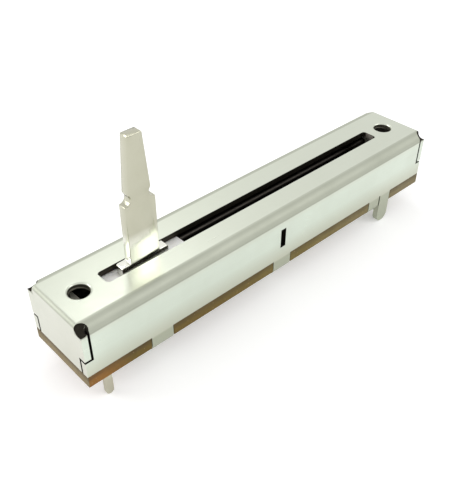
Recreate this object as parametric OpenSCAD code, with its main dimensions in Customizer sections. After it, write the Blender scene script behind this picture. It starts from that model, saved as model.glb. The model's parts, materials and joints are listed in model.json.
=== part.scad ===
// Slide potentiometer with a folded steel cover, a dual resistor board and a
// flat steel lever. The origin is the middle of the cover's top face, +X runs
// along the travel, +Y to the back and +Z up, out of the mounting face.

/* [Cover] */
// Length of the cover over its end flaps
body_l = 60; // [50:0.5:80]
// Width of the cover over its side walls
body_w = 10.5; // [9.5:0.1:11.5]
// Height of the side walls, from the top face to the board
wall_h = 6.95; // [6.8:0.05:9]
// Thickness of the sheet steel
sheet_t = 0.8; // [0.5:0.05:0.9]
// Outer radius of the long bends
bend_r = 1.2; // [1:0.05:1.5]
// Outer radius of the short bends over the ends
end_bend_r = 0.5; // [0.2:0.05:0.7]
// Radius of the round relief at each upper corner
relief_r = 0.85; // [0.6:0.05:1]
// Distance from each outer face to the middle of the relief
relief_inset = 0.35; // [0.2:0.05:0.5]
// Width of the open seam between an end flap and a side wall
seam_gap = 0.3; // [0.1:0.05:0.5]
// Height below the top face where the seam steps sideways
seam_step_z = 4.6; // [3:0.1:5.5]

/* [Slot] */
// Length of the body kept at each end beyond the lever's travel
end_room = 10; // [9.6:0.1:11]
// How far the slider stands from the left end of its travel
rest_from_left = 2; // [0.5:0.5:20]
// Width of the slot in the top face
slot_w = 2.25; // [2:0.05:2.6]
// Corner radius of the slot
slot_corner_r = 0.45; // [0.1:0.05:0.8]
// Space left at each end of the slot when the slider stops
slot_end_gap = 0.3; // [0.1:0.05:0.6]

/* [Mounting holes] */
// Distance of each threaded hole from its end of the body
hole_inset = 3.4; // [3.2:0.1:3.6]
// Bore of the threaded holes, the minor diameter of an M3 thread
hole_d = 2.5; // [2:0.1:2.6]
// Radius of the rolled rim at the mouth of each threaded hole
rim_r = 0.25; // [0.1:0.05:0.4]
// Width of the room left for a screw's tip in each end block
screw_room_d = 3.5; // [3.2:0.1:3.8]
// Depth of that room below the top face
screw_room_z = 3.5; // [2.5:0.1:4.5]

/* [Tabs and prongs] */
// Width of the bent tabs that hold the board
tab_w = 3.1; // [2:0.1:4]
// Distance from the middle tab to the outer tabs, as a share of the length
tab_share = 0.33; // [0.3:0.01:0.34]
// Width of the narrower tab beside each ground prong
prong_tab_w = 2.3; // [1.5:0.1:2.6]
// How far the tabs reach in under the board
tab_reach = 1.9; // [1.4:0.1:2.4]
// Inner radius of the tab bends
tab_bend_r = 0.3; // [0.1:0.05:0.5]
// Width of the ground prongs
prong_w = 2.3; // [1.5:0.1:2.6]
// Space between a prong and the tab beside it
prong_gap = 0.25; // [0.1:0.05:0.4]
// Width of the punched window in each side wall
window_w = 0.9; // [0.5:0.1:1.5]
// Height of the punched window
window_h = 2.8; // [1.5:0.1:3.5]
// Depth of the window's middle below the top face
window_z = 3.8; // [3:0.1:4.2]

/* [Board] */
// Thickness of the resistor board
board_t = 1.6; // [1:0.1:2]
// Space between the board and each tab that passes through its edge
notch_gap = 0.1; // [0.05:0.05:0.3]
// Thickness of the printed tracks
track_t = 0.06; // [0.04:0.01:0.1]
// Width of each printed track
track_w = 1.2; // [0.8:0.1:1.4]
// Space between each carbon track and the side wall above it
track_edge_gap = 0.45; // [0.35:0.05:0.6]
// Distance of the collector tracks from the middle, as a share of the carbon's
collector_share = 0.45; // [0.42:0.01:0.48]

/* [Terminals] */
// Distance from each end of the board to its outer rivets
rivet_inset = 2.6; // [2.2:0.1:3]
// Distance between the two rows of rivets at the left end
rivet_row = 3; // [2.4:0.1:3.5]
// Distance from the underside of the board to the tips of the pins
pin_l = 3.25; // [2.5:0.05:4]
// Width of the terminal strip
pin_w = 1; // [0.6:0.1:1.2]
// Thickness of the terminal strip
pin_t = 0.5; // [0.3:0.05:0.6]
// Distance from a rivet to the middle of its pin
pin_reach = 1.3; // [1:0.05:1.4]
// Diameter of the rivet shanks
rivet_d = 0.9; // [0.6:0.05:1]
// Height of the rivet heads
rivet_head_h = 0.25; // [0.15:0.05:0.35]

/* [Guides] */
// Diameter of the two guide rods
rod_d = 1.6; // [1.2:0.05:1.7]
// Wall of the carrier between each rod and the carrier's side
rod_wall = 0.35; // [0.3:0.05:0.45]
// Depth of the rods below the top face
rod_z = 3.4; // [3.2:0.05:3.8]
// Radial running clearance of the slider on the rods
run_gap = 0.05; // [0.02:0.01:0.1]
// Thickness of the soft bumper on each end block
bumper_t = 0.7; // [0.4:0.05:1]

/* [Slider] */
// Length of the moulded carrier
carrier_l = 12; // [10:0.5:14]
// Space between the carrier and the cover above it and beside it
carrier_gap = 0.2; // [0.1:0.05:0.4]
// Height of the space between the carrier and the board
carrier_lift = 1.25; // [1:0.05:1.5]
// Thickness of the steel lever
lever_t = 1.2; // [0.8:0.05:1.4]
// Width of the lever where it leaves the body
lever_w = 4; // [3:0.1:5]
// Height of the lever's tip above the top face
lever_h = 16; // [12:0.5:25]
// Width of the lever at its tip
lever_tip_w = 1.9; // [1.5:0.1:2.4]
// Width of the lever just above the notches
lever_neck_w = 2.95; // [2.6:0.05:3]
// Height of the notches above the top face
notch_z = 8.6; // [6:0.1:10]
// Radius of the two notches
notch_r = 0.75; // [0.4:0.05:0.9]
// Width of the lever's shoulders in the slot
shoulder_w = 6.6; // [5.5:0.1:7]
// Height of the shoulders above the top face
shoulder_z = 0.35; // [0.1:0.05:0.8]

/* [Wipers] */
// Thickness of the wiper strip
wiper_t = 0.2; // [0.12:0.02:0.3]
// Number of fingers that each wiper lays on a track
finger_count = 3; // [2:1:4]
// Space between the fingers' tips and the tracks
wiper_gap = 0.03; // [0.02:0.01:0.06]

/* [Hidden] */
$fn = 64;
eps = 0.01;

// How far a cutter reaches past the faces that it cuts.
over = 1;

end_x = body_l / 2;
side_y = body_w / 2;
inner_y = side_y - sheet_t;
inner_x = end_x - sheet_t;
board_top = -wall_h;
board_bottom = board_top - board_t;
pin_tip_z = board_bottom - pin_l;
travel = body_l - 2 * end_room;
slot_l = travel + shoulder_w + 2 * slot_end_gap;
slider_x = -travel / 2 + rest_from_left;
hole_x = end_x - hole_inset;
inner_end_r = max(end_bend_r - sheet_t, 0.05);

// Carrier: its upper face slides just under the sheet.
carrier_top = -sheet_t - carrier_gap;
carrier_bottom = board_top + carrier_lift;
carrier_y = inner_y - carrier_gap;
carrier_r = 0.4;
carrier_pad_l = 2.5;
carrier_recess = 0.15;
groove_w = 1;
groove_h = 0.8;
root_flare = 0.3;
root_cover = 1.3;

// Rods in their end blocks, each behind a bumper.
rod_y = carrier_y - rod_wall - rod_d / 2;
stop_x = travel / 2 + carrier_l / 2 + slot_end_gap / 2;
block_x = stop_x + bumper_t;
block_gap = 0.1;
rod_cover = 0.4;
rod_end_x = inner_x - block_gap - rod_cover;
bumper_rim = 0.5;

// Tabs under the board, from the left, then the prong and the tab beside it.
tab_pitch = tab_share * body_l;
tab_xs = [-tab_pitch, 0];
prong_tab_x = tab_pitch - tab_w / 2 + prong_tab_w / 2;
prong_x = prong_tab_x + prong_tab_w / 2 + prong_gap + prong_w / 2;

// Tracks, with pads that leave a gap between neighbours.
carbon_y = inner_y - track_edge_gap - track_w / 2;
collector_y = collector_share * carbon_y;
track_pitch = carbon_y - collector_y;
pad_gap = 0.05;
pad_rim = 0.1;
pad_d = track_pitch - pad_gap;
rivet_head_d = pad_d - 2 * pad_rim;
head_room = 0.15;

// Wipers under the carrier, held by two pegs each.
wiper_y = (carbon_y + collector_y) / 2;
wiper_x0 = -3.5;
wiper_l = 4.5;
finger_l = 3;
toe_l = 0.5;
toe_rise = 0.3;
contact_l = 0.1;
peg_d = 0.6;
peg_inset = 1;
peg_out = 0.1;
peg_xs = [wiper_x0 + peg_inset, wiper_x0 + wiper_l - peg_inset];

// Lever: depth of its notches, and how much is cut off the tip's corners.
notch_depth = 0.25;
tip_cut = 0.35;

// Terminals: rivet place, and the way the strip runs to its pin.
near_x = end_x - rivet_inset;
far_x = near_x - rivet_row;
terminal_spots = [
    [-near_x, -carbon_y, -90],
    [-far_x, -collector_y, 0],
    [near_x, -carbon_y, 90],
    [-far_x, carbon_y, 90],
    [-far_x, collector_y, 0],
    [near_x, carbon_y, 90]
];

// Carbon runs between its two rivets, and the collector from its own.
track_front_x = [-near_x, near_x];
track_back_x = [-far_x, near_x];
collector_end_x = near_x - 1.5;

steel = [0.86, 0.87, 0.84];
board_brown = [0.55, 0.36, 0.17];
plastic_white = [0.93, 0.92, 0.87];

// Flat outline with four true corner arcs.
module rounded_rect(w, h, r) {
    square([w, h - 2 * r], center = true);
    square([w - 2 * r, h], center = true);
    for (sx = [-1, 1], sy = [-1, 1])
        translate([sx * (w / 2 - r), sy * (h / 2 - r)])
            circle(r = r);
}

// Turns a flat outline drawn in Y and Z into a bar along X.
module along_x(x0, x1) {
    translate([x0, 0, 0])
        rotate([90, 0, 90])
            linear_extrude(height = x1 - x0)
                children();
}

// Turns a flat outline drawn in X and Z into a plate of thickness t.
module across_y(t) {
    translate([0, t / 2, 0])
        rotate([90, 0, 0])
            linear_extrude(height = t)
                children();
}

// Section of an upside-down channel with bent upper corners.
module channel_area(half_w, depth, r) {
    translate([-half_w, -depth])
        square([2 * half_w, depth - r]);
    translate([-half_w + r, -r - eps])
        square([2 * (half_w - r), r + eps]);
    for (s = [-1, 1])
        translate([s * (half_w - r), -r])
            circle(r = r);
}

// Folded box, open below: long bends one way and end bends the other.
module folded_box(half_l, half_w, depth, long_r, end_r) {
    intersection() {
        along_x(-half_l, half_l)
            channel_area(half_w, depth, long_r);
        across_y(2 * half_w)
            channel_area(half_l, depth, end_r);
    }
}

// Sheet folded into the top face, the side walls and the end flaps.
module folded_sheet() {
    difference() {
        folded_box(end_x, side_y, wall_h, bend_r, end_bend_r);
        translate([0, 0, -sheet_t])
            folded_box(inner_x, inner_y, wall_h, bend_r - sheet_t, inner_end_r);
    }
}

// Open seam at one corner: down beside the flap, a step, then down again.
module corner_seam() {
    seam_x = inner_x - seam_gap;
    seam_y = inner_y - seam_gap;
    step_low = -seam_step_z - seam_gap;
    translate([seam_x, inner_y - eps, -seam_step_z - eps])
        cube([seam_gap, sheet_t + over, seam_step_z - relief_inset + eps]);
    translate([seam_x, seam_y, step_low])
        cube([end_x + over - seam_x, side_y + over - seam_y, seam_gap]);
    translate([inner_x - eps, seam_y, -wall_h - over])
        cube([sheet_t + over, seam_gap, wall_h + over + step_low + eps]);
}

// A tab leaves the wall, turns under the board and lies against it.
module folded_tab(x, w) {
    outer_r = tab_bend_r + sheet_t;
    fold_z = board_bottom - sheet_t;
    along_x(x - w / 2, x + w / 2) {
        translate([-side_y, fold_z + outer_r])
            square([sheet_t, board_top - fold_z - outer_r + eps]);
        translate([-side_y + outer_r, fold_z])
            square([tab_reach + sheet_t - outer_r, sheet_t]);
        intersection() {
            translate([-side_y + outer_r, fold_z + outer_r])
                difference() {
                    circle(r = outer_r);
                    circle(r = tab_bend_r);
                }
            translate([-side_y, fold_z])
                square([outer_r, outer_r]);
        }
    }
}

// A prong runs straight down from the wall and ends round.
module ground_prong() {
    tip_r = prong_w / 2;
    translate([prong_x, -side_y + sheet_t / 2, 0])
        across_y(sheet_t) {
            translate([-prong_w / 2, pin_tip_z + tip_r])
                square([prong_w, board_top - pin_tip_z - tip_r + eps]);
            translate([0, pin_tip_z + tip_r])
                circle(r = tip_r);
        }
}

// Bore with a rolled rim at its mouth.
module threaded_bore(x) {
    translate([x, 0, -sheet_t - over])
        cylinder(d = hole_d, h = sheet_t + 2 * over);
    translate([x, 0, 0])
        difference() {
            translate([0, 0, -rim_r])
                cylinder(r = hole_d / 2 + rim_r, h = rim_r + over);
            translate([0, 0, -rim_r])
                rotate_extrude()
                    translate([hole_d / 2 + rim_r, 0])
                        circle(r = rim_r);
        }
}

// The steel cover: folded sheet, stepped seams, tabs, prongs and openings.
module cover() {
    color(steel)
        difference() {
            union() {
                folded_sheet();
                for (side = [0, 1])
                    mirror([0, side, 0]) {
                        for (x = tab_xs)
                            folded_tab(x, tab_w);
                        folded_tab(prong_tab_x, prong_tab_w);
                        ground_prong();
                    }
            }
            translate([0, 0, -sheet_t - over])
                linear_extrude(height = sheet_t + 2 * over)
                    rounded_rect(slot_l, slot_w, slot_corner_r);
            for (s = [-1, 1])
                threaded_bore(s * hole_x);
            translate([-window_w / 2, -side_y - over, -window_z - window_h / 2])
                cube([window_w, body_w + 2 * over, window_h]);
            for (mx = [0, 1], my = [0, 1])
                mirror([mx, 0, 0])
                    mirror([0, my, 0]) {
                        corner_seam();
                        translate([end_x - relief_inset, side_y - relief_inset, -relief_inset])
                            sphere(r = relief_r);
                    }
        }
}

// Strip of phenolic board, notched where tabs and prongs pass its edge.
module resistor_board() {
    notch_depth = sheet_t + tab_bend_r;
    wide = prong_tab_w + prong_gap + prong_w;
    color(board_brown)
        translate([0, 0, board_bottom])
            linear_extrude(height = board_t)
                difference() {
                    square([body_l, body_w], center = true);
                    for (s = [-1, 1]) {
                        for (x = tab_xs)
                            translate([x, s * side_y])
                                square([tab_w + 2 * notch_gap, 2 * notch_depth], center = true);
                        translate([prong_tab_x - prong_tab_w / 2 + wide / 2, s * side_y])
                            square([wide + 2 * notch_gap, 2 * notch_depth], center = true);
                    }
                    for (spot = terminal_spots)
                        translate([spot[0], spot[1]])
                            circle(d = rivet_d);
                }
}

// Printed strip with a round pad at each riveted end.
module printed_track(x0, x1, y, pads) {
    translate([0, y, board_top])
        linear_extrude(height = track_t)
            difference() {
                union() {
                    translate([x0, -track_w / 2])
                        square([x1 - x0, track_w]);
                    for (x = pads)
                        translate([x, 0])
                            circle(d = pad_d);
                }
                for (x = pads)
                    translate([x, 0])
                        circle(d = rivet_d);
            }
}

module carbon_track(side) {
    span = side < 0 ? track_front_x : track_back_x;
    color([0.07, 0.07, 0.07])
        printed_track(span[0], span[1], side * carbon_y, span);
}

module collector_track(side) {
    color([0.72, 0.72, 0.7])
        printed_track(-far_x, collector_end_x, side * collector_y, [-far_x]);
}

// Stamped terminal: an eye under the board, a strip and a bent-down pin.
module terminal(spot) {
    outer_r = 2 * pin_t;
    bend_x = pin_reach + pin_t / 2;
    color([0.8, 0.8, 0.78])
        translate([spot[0], spot[1], board_bottom])
            rotate([0, 0, spot[2]])
                difference() {
                    union() {
                        translate([0, 0, -pin_t])
                            cylinder(d = rivet_head_d, h = pin_t);
                        translate([0, -pin_w / 2, -pin_t])
                            cube([bend_x - outer_r, pin_w, pin_t]);
                        across_y(pin_w)
                            intersection() {
                                translate([bend_x - outer_r, -outer_r])
                                    difference() {
                                        circle(r = outer_r);
                                        circle(r = outer_r - pin_t);
                                    }
                                translate([bend_x - outer_r, -outer_r])
                                    square([outer_r, outer_r]);
                            }
                        translate([pin_reach, 0, 0])
                            rotate([0, 0, 90])
                                across_y(pin_t) {
                                    translate([-pin_w / 2, -pin_l + pin_w / 2])
                                        square([pin_w, pin_l - pin_w / 2 - outer_r + eps]);
                                    translate([0, -pin_l + pin_w / 2])
                                        circle(d = pin_w);
                                }
                    }
                    translate([0, 0, -pin_t - over])
                        cylinder(d = rivet_d, h = pin_t + 2 * over);
                }
}

// Rivets that clamp each terminal and its track to the board.
module terminal_rivets() {
    color([0.78, 0.76, 0.68])
        for (spot = terminal_spots)
            translate([spot[0], spot[1], 0])
                difference() {
                    union() {
                        translate([0, 0, board_bottom - pin_t])
                            cylinder(d = rivet_d, h = board_t + pin_t + track_t + eps);
                        translate([0, 0, board_top + track_t])
                            cylinder(d = rivet_head_d, h = rivet_head_h);
                        translate([0, 0, board_bottom - pin_t - rivet_head_h])
                            cylinder(d = rivet_head_d, h = rivet_head_h);
                    }
                    translate([0, 0, board_bottom - pin_t - rivet_head_h - over])
                        cylinder(d = rivet_d / 2, h = over + pin_t + rivet_head_h);
                }
}

module guide_rod(side) {
    color([0.6, 0.61, 0.62])
        translate([-rod_end_x, side * rod_y, -rod_z])
            rotate([0, 90, 0])
                cylinder(d = rod_d, h = 2 * rod_end_x);
}

// Moulded block that carries the rod ends and leaves room for the screw.
module end_block(side) {
    block_l = inner_x - block_gap - block_x;
    block_bottom = board_top + track_t;
    color(plastic_white)
        rotate([0, 0, side > 0 ? 0 : 180])
            difference() {
                translate([block_x, -carrier_y, block_bottom])
                    cube([block_l, 2 * carrier_y, -sheet_t - block_bottom]);
                for (s = [-1, 1]) {
                    translate([0, s * rod_y, -rod_z])
                        rotate([0, 90, 0])
                            cylinder(d = rod_d, h = rod_end_x);
                    translate([near_x, s * carbon_y, board_top])
                        cylinder(d = rivet_head_d + 2 * head_room, h = track_t + rivet_head_h + head_room);
                }
                translate([hole_x, 0, -screw_room_z])
                    cylinder(d = screw_room_d, h = screw_room_z);
            }
}

// Soft pad that both rods pass through, against the end block's face.
module bumper(side) {
    color([0.9, 0.89, 0.84])
        translate([side * (block_x - bumper_t / 2), 0, -rod_z])
            rotate([90, 0, 90])
                translate([0, 0, -bumper_t / 2])
                    linear_extrude(height = bumper_t)
                        difference() {
                            rounded_rect(2 * carrier_y, rod_d + 2 * bumper_rim, bumper_rim);
                            for (s = [-1, 1])
                                translate([s * rod_y, 0])
                                    circle(d = rod_d);
                        }
}

// Section of the carrier: rounded block, hollow along the middle below.
module carrier_section() {
    carrier_h = carrier_top - carrier_bottom;
    difference() {
        translate([0, (carrier_top + carrier_bottom) / 2])
            rounded_rect(2 * carrier_y, carrier_h, carrier_r);
        translate([-groove_w / 2, carrier_bottom - over])
            square([groove_w, groove_h + over]);
    }
}

// Moulded carrier: bored for the rods, moulded round the lever's root.
module carrier() {
    recess_l = carrier_l - 2 * carrier_pad_l;
    color(plastic_white)
        translate([slider_x, 0, 0])
            difference() {
                union() {
                    along_x(-carrier_l / 2, carrier_l / 2)
                        carrier_section();
                    for (s = [-1, 1], x = peg_xs)
                        translate([x, s * wiper_y, carrier_bottom - wiper_t - peg_out])
                            cylinder(d = peg_d, h = wiper_t + 2 * peg_out);
                }
                for (s = [-1, 1]) {
                    translate([-carrier_l / 2 - over, s * rod_y, -rod_z])
                        rotate([0, 90, 0])
                            cylinder(r = rod_d / 2 + run_gap, h = carrier_l + 2 * over);
                    translate([-recess_l / 2, s * carrier_y - carrier_recess, carrier_bottom - over])
                        cube([recess_l, 2 * carrier_recess, carrier_top - carrier_bottom]);
                }
                across_y(lever_t)
                    lever_root();
            }
}

// Part of the lever that the carrier is moulded round.
module lever_root() {
    root_w = lever_w + 2 * root_flare;
    root_z = carrier_bottom + root_cover;
    translate([-root_w / 2, root_z])
        square([root_w, carrier_top - root_z]);
}

// Outline of the stamped lever, from the root in the carrier to the tip.
module lever_outline() {
    neck_z = notch_z + notch_r;
    difference() {
        union() {
            lever_root();
            translate([-shoulder_w / 2, carrier_top])
                square([shoulder_w, shoulder_z - carrier_top]);
            translate([-lever_w / 2, 0])
                square([lever_w, notch_z]);
            polygon([
                [-lever_neck_w / 2, notch_z - notch_r / 2],
                [lever_neck_w / 2, notch_z - notch_r / 2],
                [lever_neck_w / 2, neck_z],
                [lever_tip_w / 2, lever_h - tip_cut],
                [lever_tip_w / 2 - tip_cut, lever_h],
                [-lever_tip_w / 2 + tip_cut, lever_h],
                [-lever_tip_w / 2, lever_h - tip_cut],
                [-lever_neck_w / 2, neck_z]
            ]);
        }
        for (s = [-1, 1])
            translate([s * (lever_neck_w / 2 + notch_r - notch_depth), notch_z])
                circle(r = notch_r);
    }
}

module lever() {
    color([0.8, 0.81, 0.72])
        translate([slider_x, 0, 0])
            across_y(lever_t)
                lever_outline();
}

// Side view of one wiper finger, from the plate down to its track.
module finger_outline(drop) {
    polygon([
        [-eps, 0],
        [0, 0],
        [finger_l, wiper_t - drop],
        [finger_l + toe_l, wiper_t - drop + toe_rise],
        [finger_l + toe_l, toe_rise - drop],
        [finger_l + contact_l, -drop],
        [finger_l - contact_l, -drop],
        [0, -wiper_t],
        [-eps, -wiper_t]
    ]);
}

// Sprung strip that bridges a carbon track and its collector.
module wiper(side) {
    finger_w = track_w / (finger_count * 2 - 1);
    drop = carrier_bottom - (board_top + track_t + wiper_gap);
    track_offset = track_pitch / 2;
    color([0.78, 0.62, 0.3])
        translate([slider_x, side * wiper_y, carrier_bottom])
            difference() {
                union() {
                    translate([wiper_x0, -track_offset - track_w / 2, -wiper_t])
                        cube([wiper_l, 2 * track_offset + track_w, wiper_t]);
                    for (track = [-1, 1], i = [0 : finger_count - 1])
                        translate([
                            wiper_x0 + wiper_l,
                            track * track_offset + (2 * i + 1 - finger_count) * finger_w,
                            0
                        ])
                            across_y(finger_w)
                                finger_outline(drop);
                }
                for (x = peg_xs)
                    translate([x, 0, -over])
                        cylinder(d = peg_d, h = 2 * over);
            }
}

cover();
resistor_board();
carbon_track(-1);  // carbon_track_front
carbon_track(1);  // carbon_track_back
collector_track(-1);  // collector_track_front
collector_track(1);  // collector_track_back
terminal(terminal_spots[0]);  // terminal_1a
terminal(terminal_spots[1]);  // terminal_2a
terminal(terminal_spots[2]);  // terminal_3a
terminal(terminal_spots[3]);  // terminal_1b
terminal(terminal_spots[4]);  // terminal_2b
terminal(terminal_spots[5]);  // terminal_3b
terminal_rivets();
guide_rod(-1);  // guide_rod_front
guide_rod(1);  // guide_rod_back
end_block(-1);  // end_block_left
end_block(1);  // end_block_right
bumper(-1);  // bumper_left
bumper(1);  // bumper_right
carrier();
lever();
wiper(-1);  // wiper_front
wiper(1);  // wiper_back
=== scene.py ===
"""Looks of the slide potentiometer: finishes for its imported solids, and the finer
pieces that stand for some of them, on a pale studio floor.

Lengths in the size fields are millimetres. Meshes and objects are metres.
"""

import json
import logging
import math
from dataclasses import dataclass
from enum import Enum
from functools import cached_property, reduce

import bmesh
import bpy
import numpy as np
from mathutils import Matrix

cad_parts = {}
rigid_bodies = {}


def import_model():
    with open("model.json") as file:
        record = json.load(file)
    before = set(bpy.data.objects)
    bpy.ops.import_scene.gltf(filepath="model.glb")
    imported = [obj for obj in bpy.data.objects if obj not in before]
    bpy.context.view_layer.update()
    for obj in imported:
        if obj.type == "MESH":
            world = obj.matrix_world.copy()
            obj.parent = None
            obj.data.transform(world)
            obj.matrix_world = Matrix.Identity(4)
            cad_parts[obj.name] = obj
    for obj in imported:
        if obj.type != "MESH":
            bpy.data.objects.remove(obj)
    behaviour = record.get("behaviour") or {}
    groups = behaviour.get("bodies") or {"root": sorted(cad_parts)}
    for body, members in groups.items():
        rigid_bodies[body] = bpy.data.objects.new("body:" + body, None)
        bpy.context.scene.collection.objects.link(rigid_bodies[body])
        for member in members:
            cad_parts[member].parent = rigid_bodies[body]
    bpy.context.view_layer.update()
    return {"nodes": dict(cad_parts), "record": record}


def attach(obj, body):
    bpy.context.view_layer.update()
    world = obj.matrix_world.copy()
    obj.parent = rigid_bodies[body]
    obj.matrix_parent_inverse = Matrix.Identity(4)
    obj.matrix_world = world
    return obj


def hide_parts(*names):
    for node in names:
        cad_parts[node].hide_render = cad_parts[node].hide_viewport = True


for leftover in list(bpy.data.objects):
    bpy.data.objects.remove(leftover, do_unlink=True)

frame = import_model()

MM = 0.001
POLE_REACH = 1e-7
SHARP_ANGLE = math.radians(35.0)
LOG = logging.getLogger("slide_potentiometer")

Colour = tuple[float, float, float]
Spot = tuple[float, float, float]
Pair = tuple[float, float]
Node = bpy.types.Node
Socket = bpy.types.NodeSocket
Value = float | Spot | Socket
Values = dict[str | int, Value]
Mesh = tuple[np.ndarray, np.ndarray]


class Axis(Enum):
    """Direction of rolling or drawn lines, as the density of their pattern on each axis."""

    ALONG_X = (0.12, 5.0, 5.0)
    ALONG_Z = (5.0, 5.0, 0.12)


class Body(Enum):
    """The two bodies that pieces ride on."""

    HOUSING = "housing"
    SLIDER = "slider"


# Meshes


def grid_quads(rows: int, columns: int, wrap_rows: bool, wrap_columns: bool) -> np.ndarray:
    """Joins the points of a grid into quads.

    Args:
        rows: number of points along the first parameter.
        columns: number of points along the second parameter.
        wrap_rows: whether the last row joins the first.
        wrap_columns: whether the last column joins the first.

    Returns:
        Point indices, one row of four for each quad.
    """
    first = np.arange(rows if wrap_rows else rows - 1)[:, None]
    second = np.arange(columns if wrap_columns else columns - 1)[None, :]
    next_row = (first + 1) % rows
    next_column = (second + 1) % columns
    corners = (
        first * columns + second,
        next_row * columns + second,
        next_row * columns + next_column,
        first * columns + next_column,
    )
    return np.stack([corner.reshape(-1) for corner in corners], axis=1)


def revolved(section: np.ndarray, middle: Spot, turns: int) -> Mesh:
    """Turns a section about the vertical line through a point.

    A point of the section at radius r and height z, turned by the angle a, lies at
    the middle plus (r cos a, r sin a, z).

    Args:
        section: radius and height of each point, running upwards on the outside.
        middle: the point on the turning line where the height is 0.
        turns: number of steps around.

    Returns:
        The points, and the quads that join them.
    """
    angle = np.linspace(0.0, 2.0 * np.pi, turns, endpoint=False)[:, None]
    radius = section[None, :, 0]
    height = np.broadcast_to(section[None, :, 1], (turns, len(section)))
    points = np.stack([radius * np.cos(angle), radius * np.sin(angle), height], axis=-1)
    return points.reshape(-1, 3) + np.array(middle), grid_quads(turns, len(section), True, False)


def rounded_outline(corners: np.ndarray, radii: np.ndarray, steps: int) -> np.ndarray:
    """Rounds each corner of a closed outline with an arc.

    At a corner P with unit vectors a and b to its neighbours, and half angle h
    between them, the arc's middle lies at P + r / sin h along the bisector, and the
    arc's points are that middle plus r times the directions between the two feet.

    Args:
        corners: the outline's corners, in order.
        radii: radius of the arc at each corner.
        steps: number of points on each arc.

    Returns:
        The rounded outline's points, in the same order.
    """
    before = np.roll(corners, 1, axis=0) - corners
    after = np.roll(corners, -1, axis=0) - corners
    before /= np.linalg.norm(before, axis=1, keepdims=True)
    after /= np.linalg.norm(after, axis=1, keepdims=True)
    bisector = before + after
    bisector /= np.linalg.norm(bisector, axis=1, keepdims=True)
    cosine = np.sum(before * bisector, axis=1)
    sine = np.sqrt(1.0 - cosine**2)
    middle = corners + bisector * (radii / sine)[:, None]
    reach = (radii * cosine / sine)[:, None]
    foot = corners + before * reach - middle
    end = corners + after * reach - middle
    start_angle = np.arctan2(foot[:, 1], foot[:, 0])
    sweep = np.arctan2(end[:, 1], end[:, 0]) - start_angle
    sweep = (sweep + np.pi) % (2.0 * np.pi) - np.pi
    angle = start_angle[:, None] + sweep[:, None] * np.linspace(0.0, 1.0, steps)[None, :]
    arcs = np.stack([np.cos(angle), np.sin(angle)], axis=-1) * radii[:, None, None]
    return (middle[:, None, :] + arcs).reshape(-1, 2)


def inset_outline(outline: np.ndarray, inset: np.ndarray) -> np.ndarray:
    """Draws copies of a closed outline, each moved inwards by its own inset.

    The inward direction at a point is the sum of its two edges' normals, scaled so
    that the moved edges stay parallel to the old ones.

    Args:
        outline: the outline's points, running anticlockwise.
        inset: distance inwards for each copy.

    Returns:
        Points by place on the outline, by copy, by coordinate.
    """
    ahead = np.roll(outline, -1, axis=0) - outline
    ahead /= np.linalg.norm(ahead, axis=1, keepdims=True)
    inward = np.stack([-ahead[:, 1], ahead[:, 0]], axis=1)
    inward_before = np.roll(inward, 1, axis=0)
    both = inward + inward_before
    both /= (1.0 + np.sum(inward * inward_before, axis=1))[:, None]
    return outline[:, None, :] + both[:, None, :] * inset[None, :, None]


def joined(parts: list[Mesh]) -> tuple[np.ndarray, list[list[int]]]:
    """Puts several meshes into one.

    Args:
        parts: the points and quads of each mesh.

    Returns:
        All points, and all faces with their new point numbers.
    """
    starts = np.cumsum([0] + [len(points) for points, _ in parts])
    faces = [quads + start for (_, quads), start in zip(parts, starts)]
    return np.concatenate([points for points, _ in parts]), np.concatenate(faces).tolist()


def add_piece(
    name: str, points: np.ndarray, faces: list[list[int]], body: Body, slot: str
) -> bpy.types.Object:
    """Makes a mesh object from points and faces, and lets it ride on a body.

    Args:
        name: the piece's name.
        points: the points in millimetres.
        faces: the faces, as lists of point indices.
        body: the body that carries the piece.
        slot: the record's material slot that the piece's finish comes from.

    Returns:
        The new object.
    """
    mesh = bpy.data.meshes.new(name)
    mesh.from_pydata((points * MM).tolist(), [], faces)
    mesh.shade_smooth()
    mesh.set_sharp_from_angle(angle=SHARP_ANGLE)
    mesh.materials.append(FINISHES[slot].material())
    piece = bpy.data.objects.new(name, mesh)
    bpy.context.scene.collection.objects.link(piece)
    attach(piece, body.value)
    return piece


def close_poles(piece: bpy.types.Object) -> None:
    """Joins the points that meet at poles, and drops the faces that this empties.

    Args:
        piece: the mesh object to close.
    """
    mesh = bmesh.new()
    mesh.from_mesh(piece.data)
    bmesh.ops.remove_doubles(mesh, verts=mesh.verts, dist=POLE_REACH)
    bmesh.ops.dissolve_degenerate(mesh, edges=mesh.edges, dist=POLE_REACH)
    mesh.to_mesh(piece.data)
    mesh.free()


# Node trees


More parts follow.
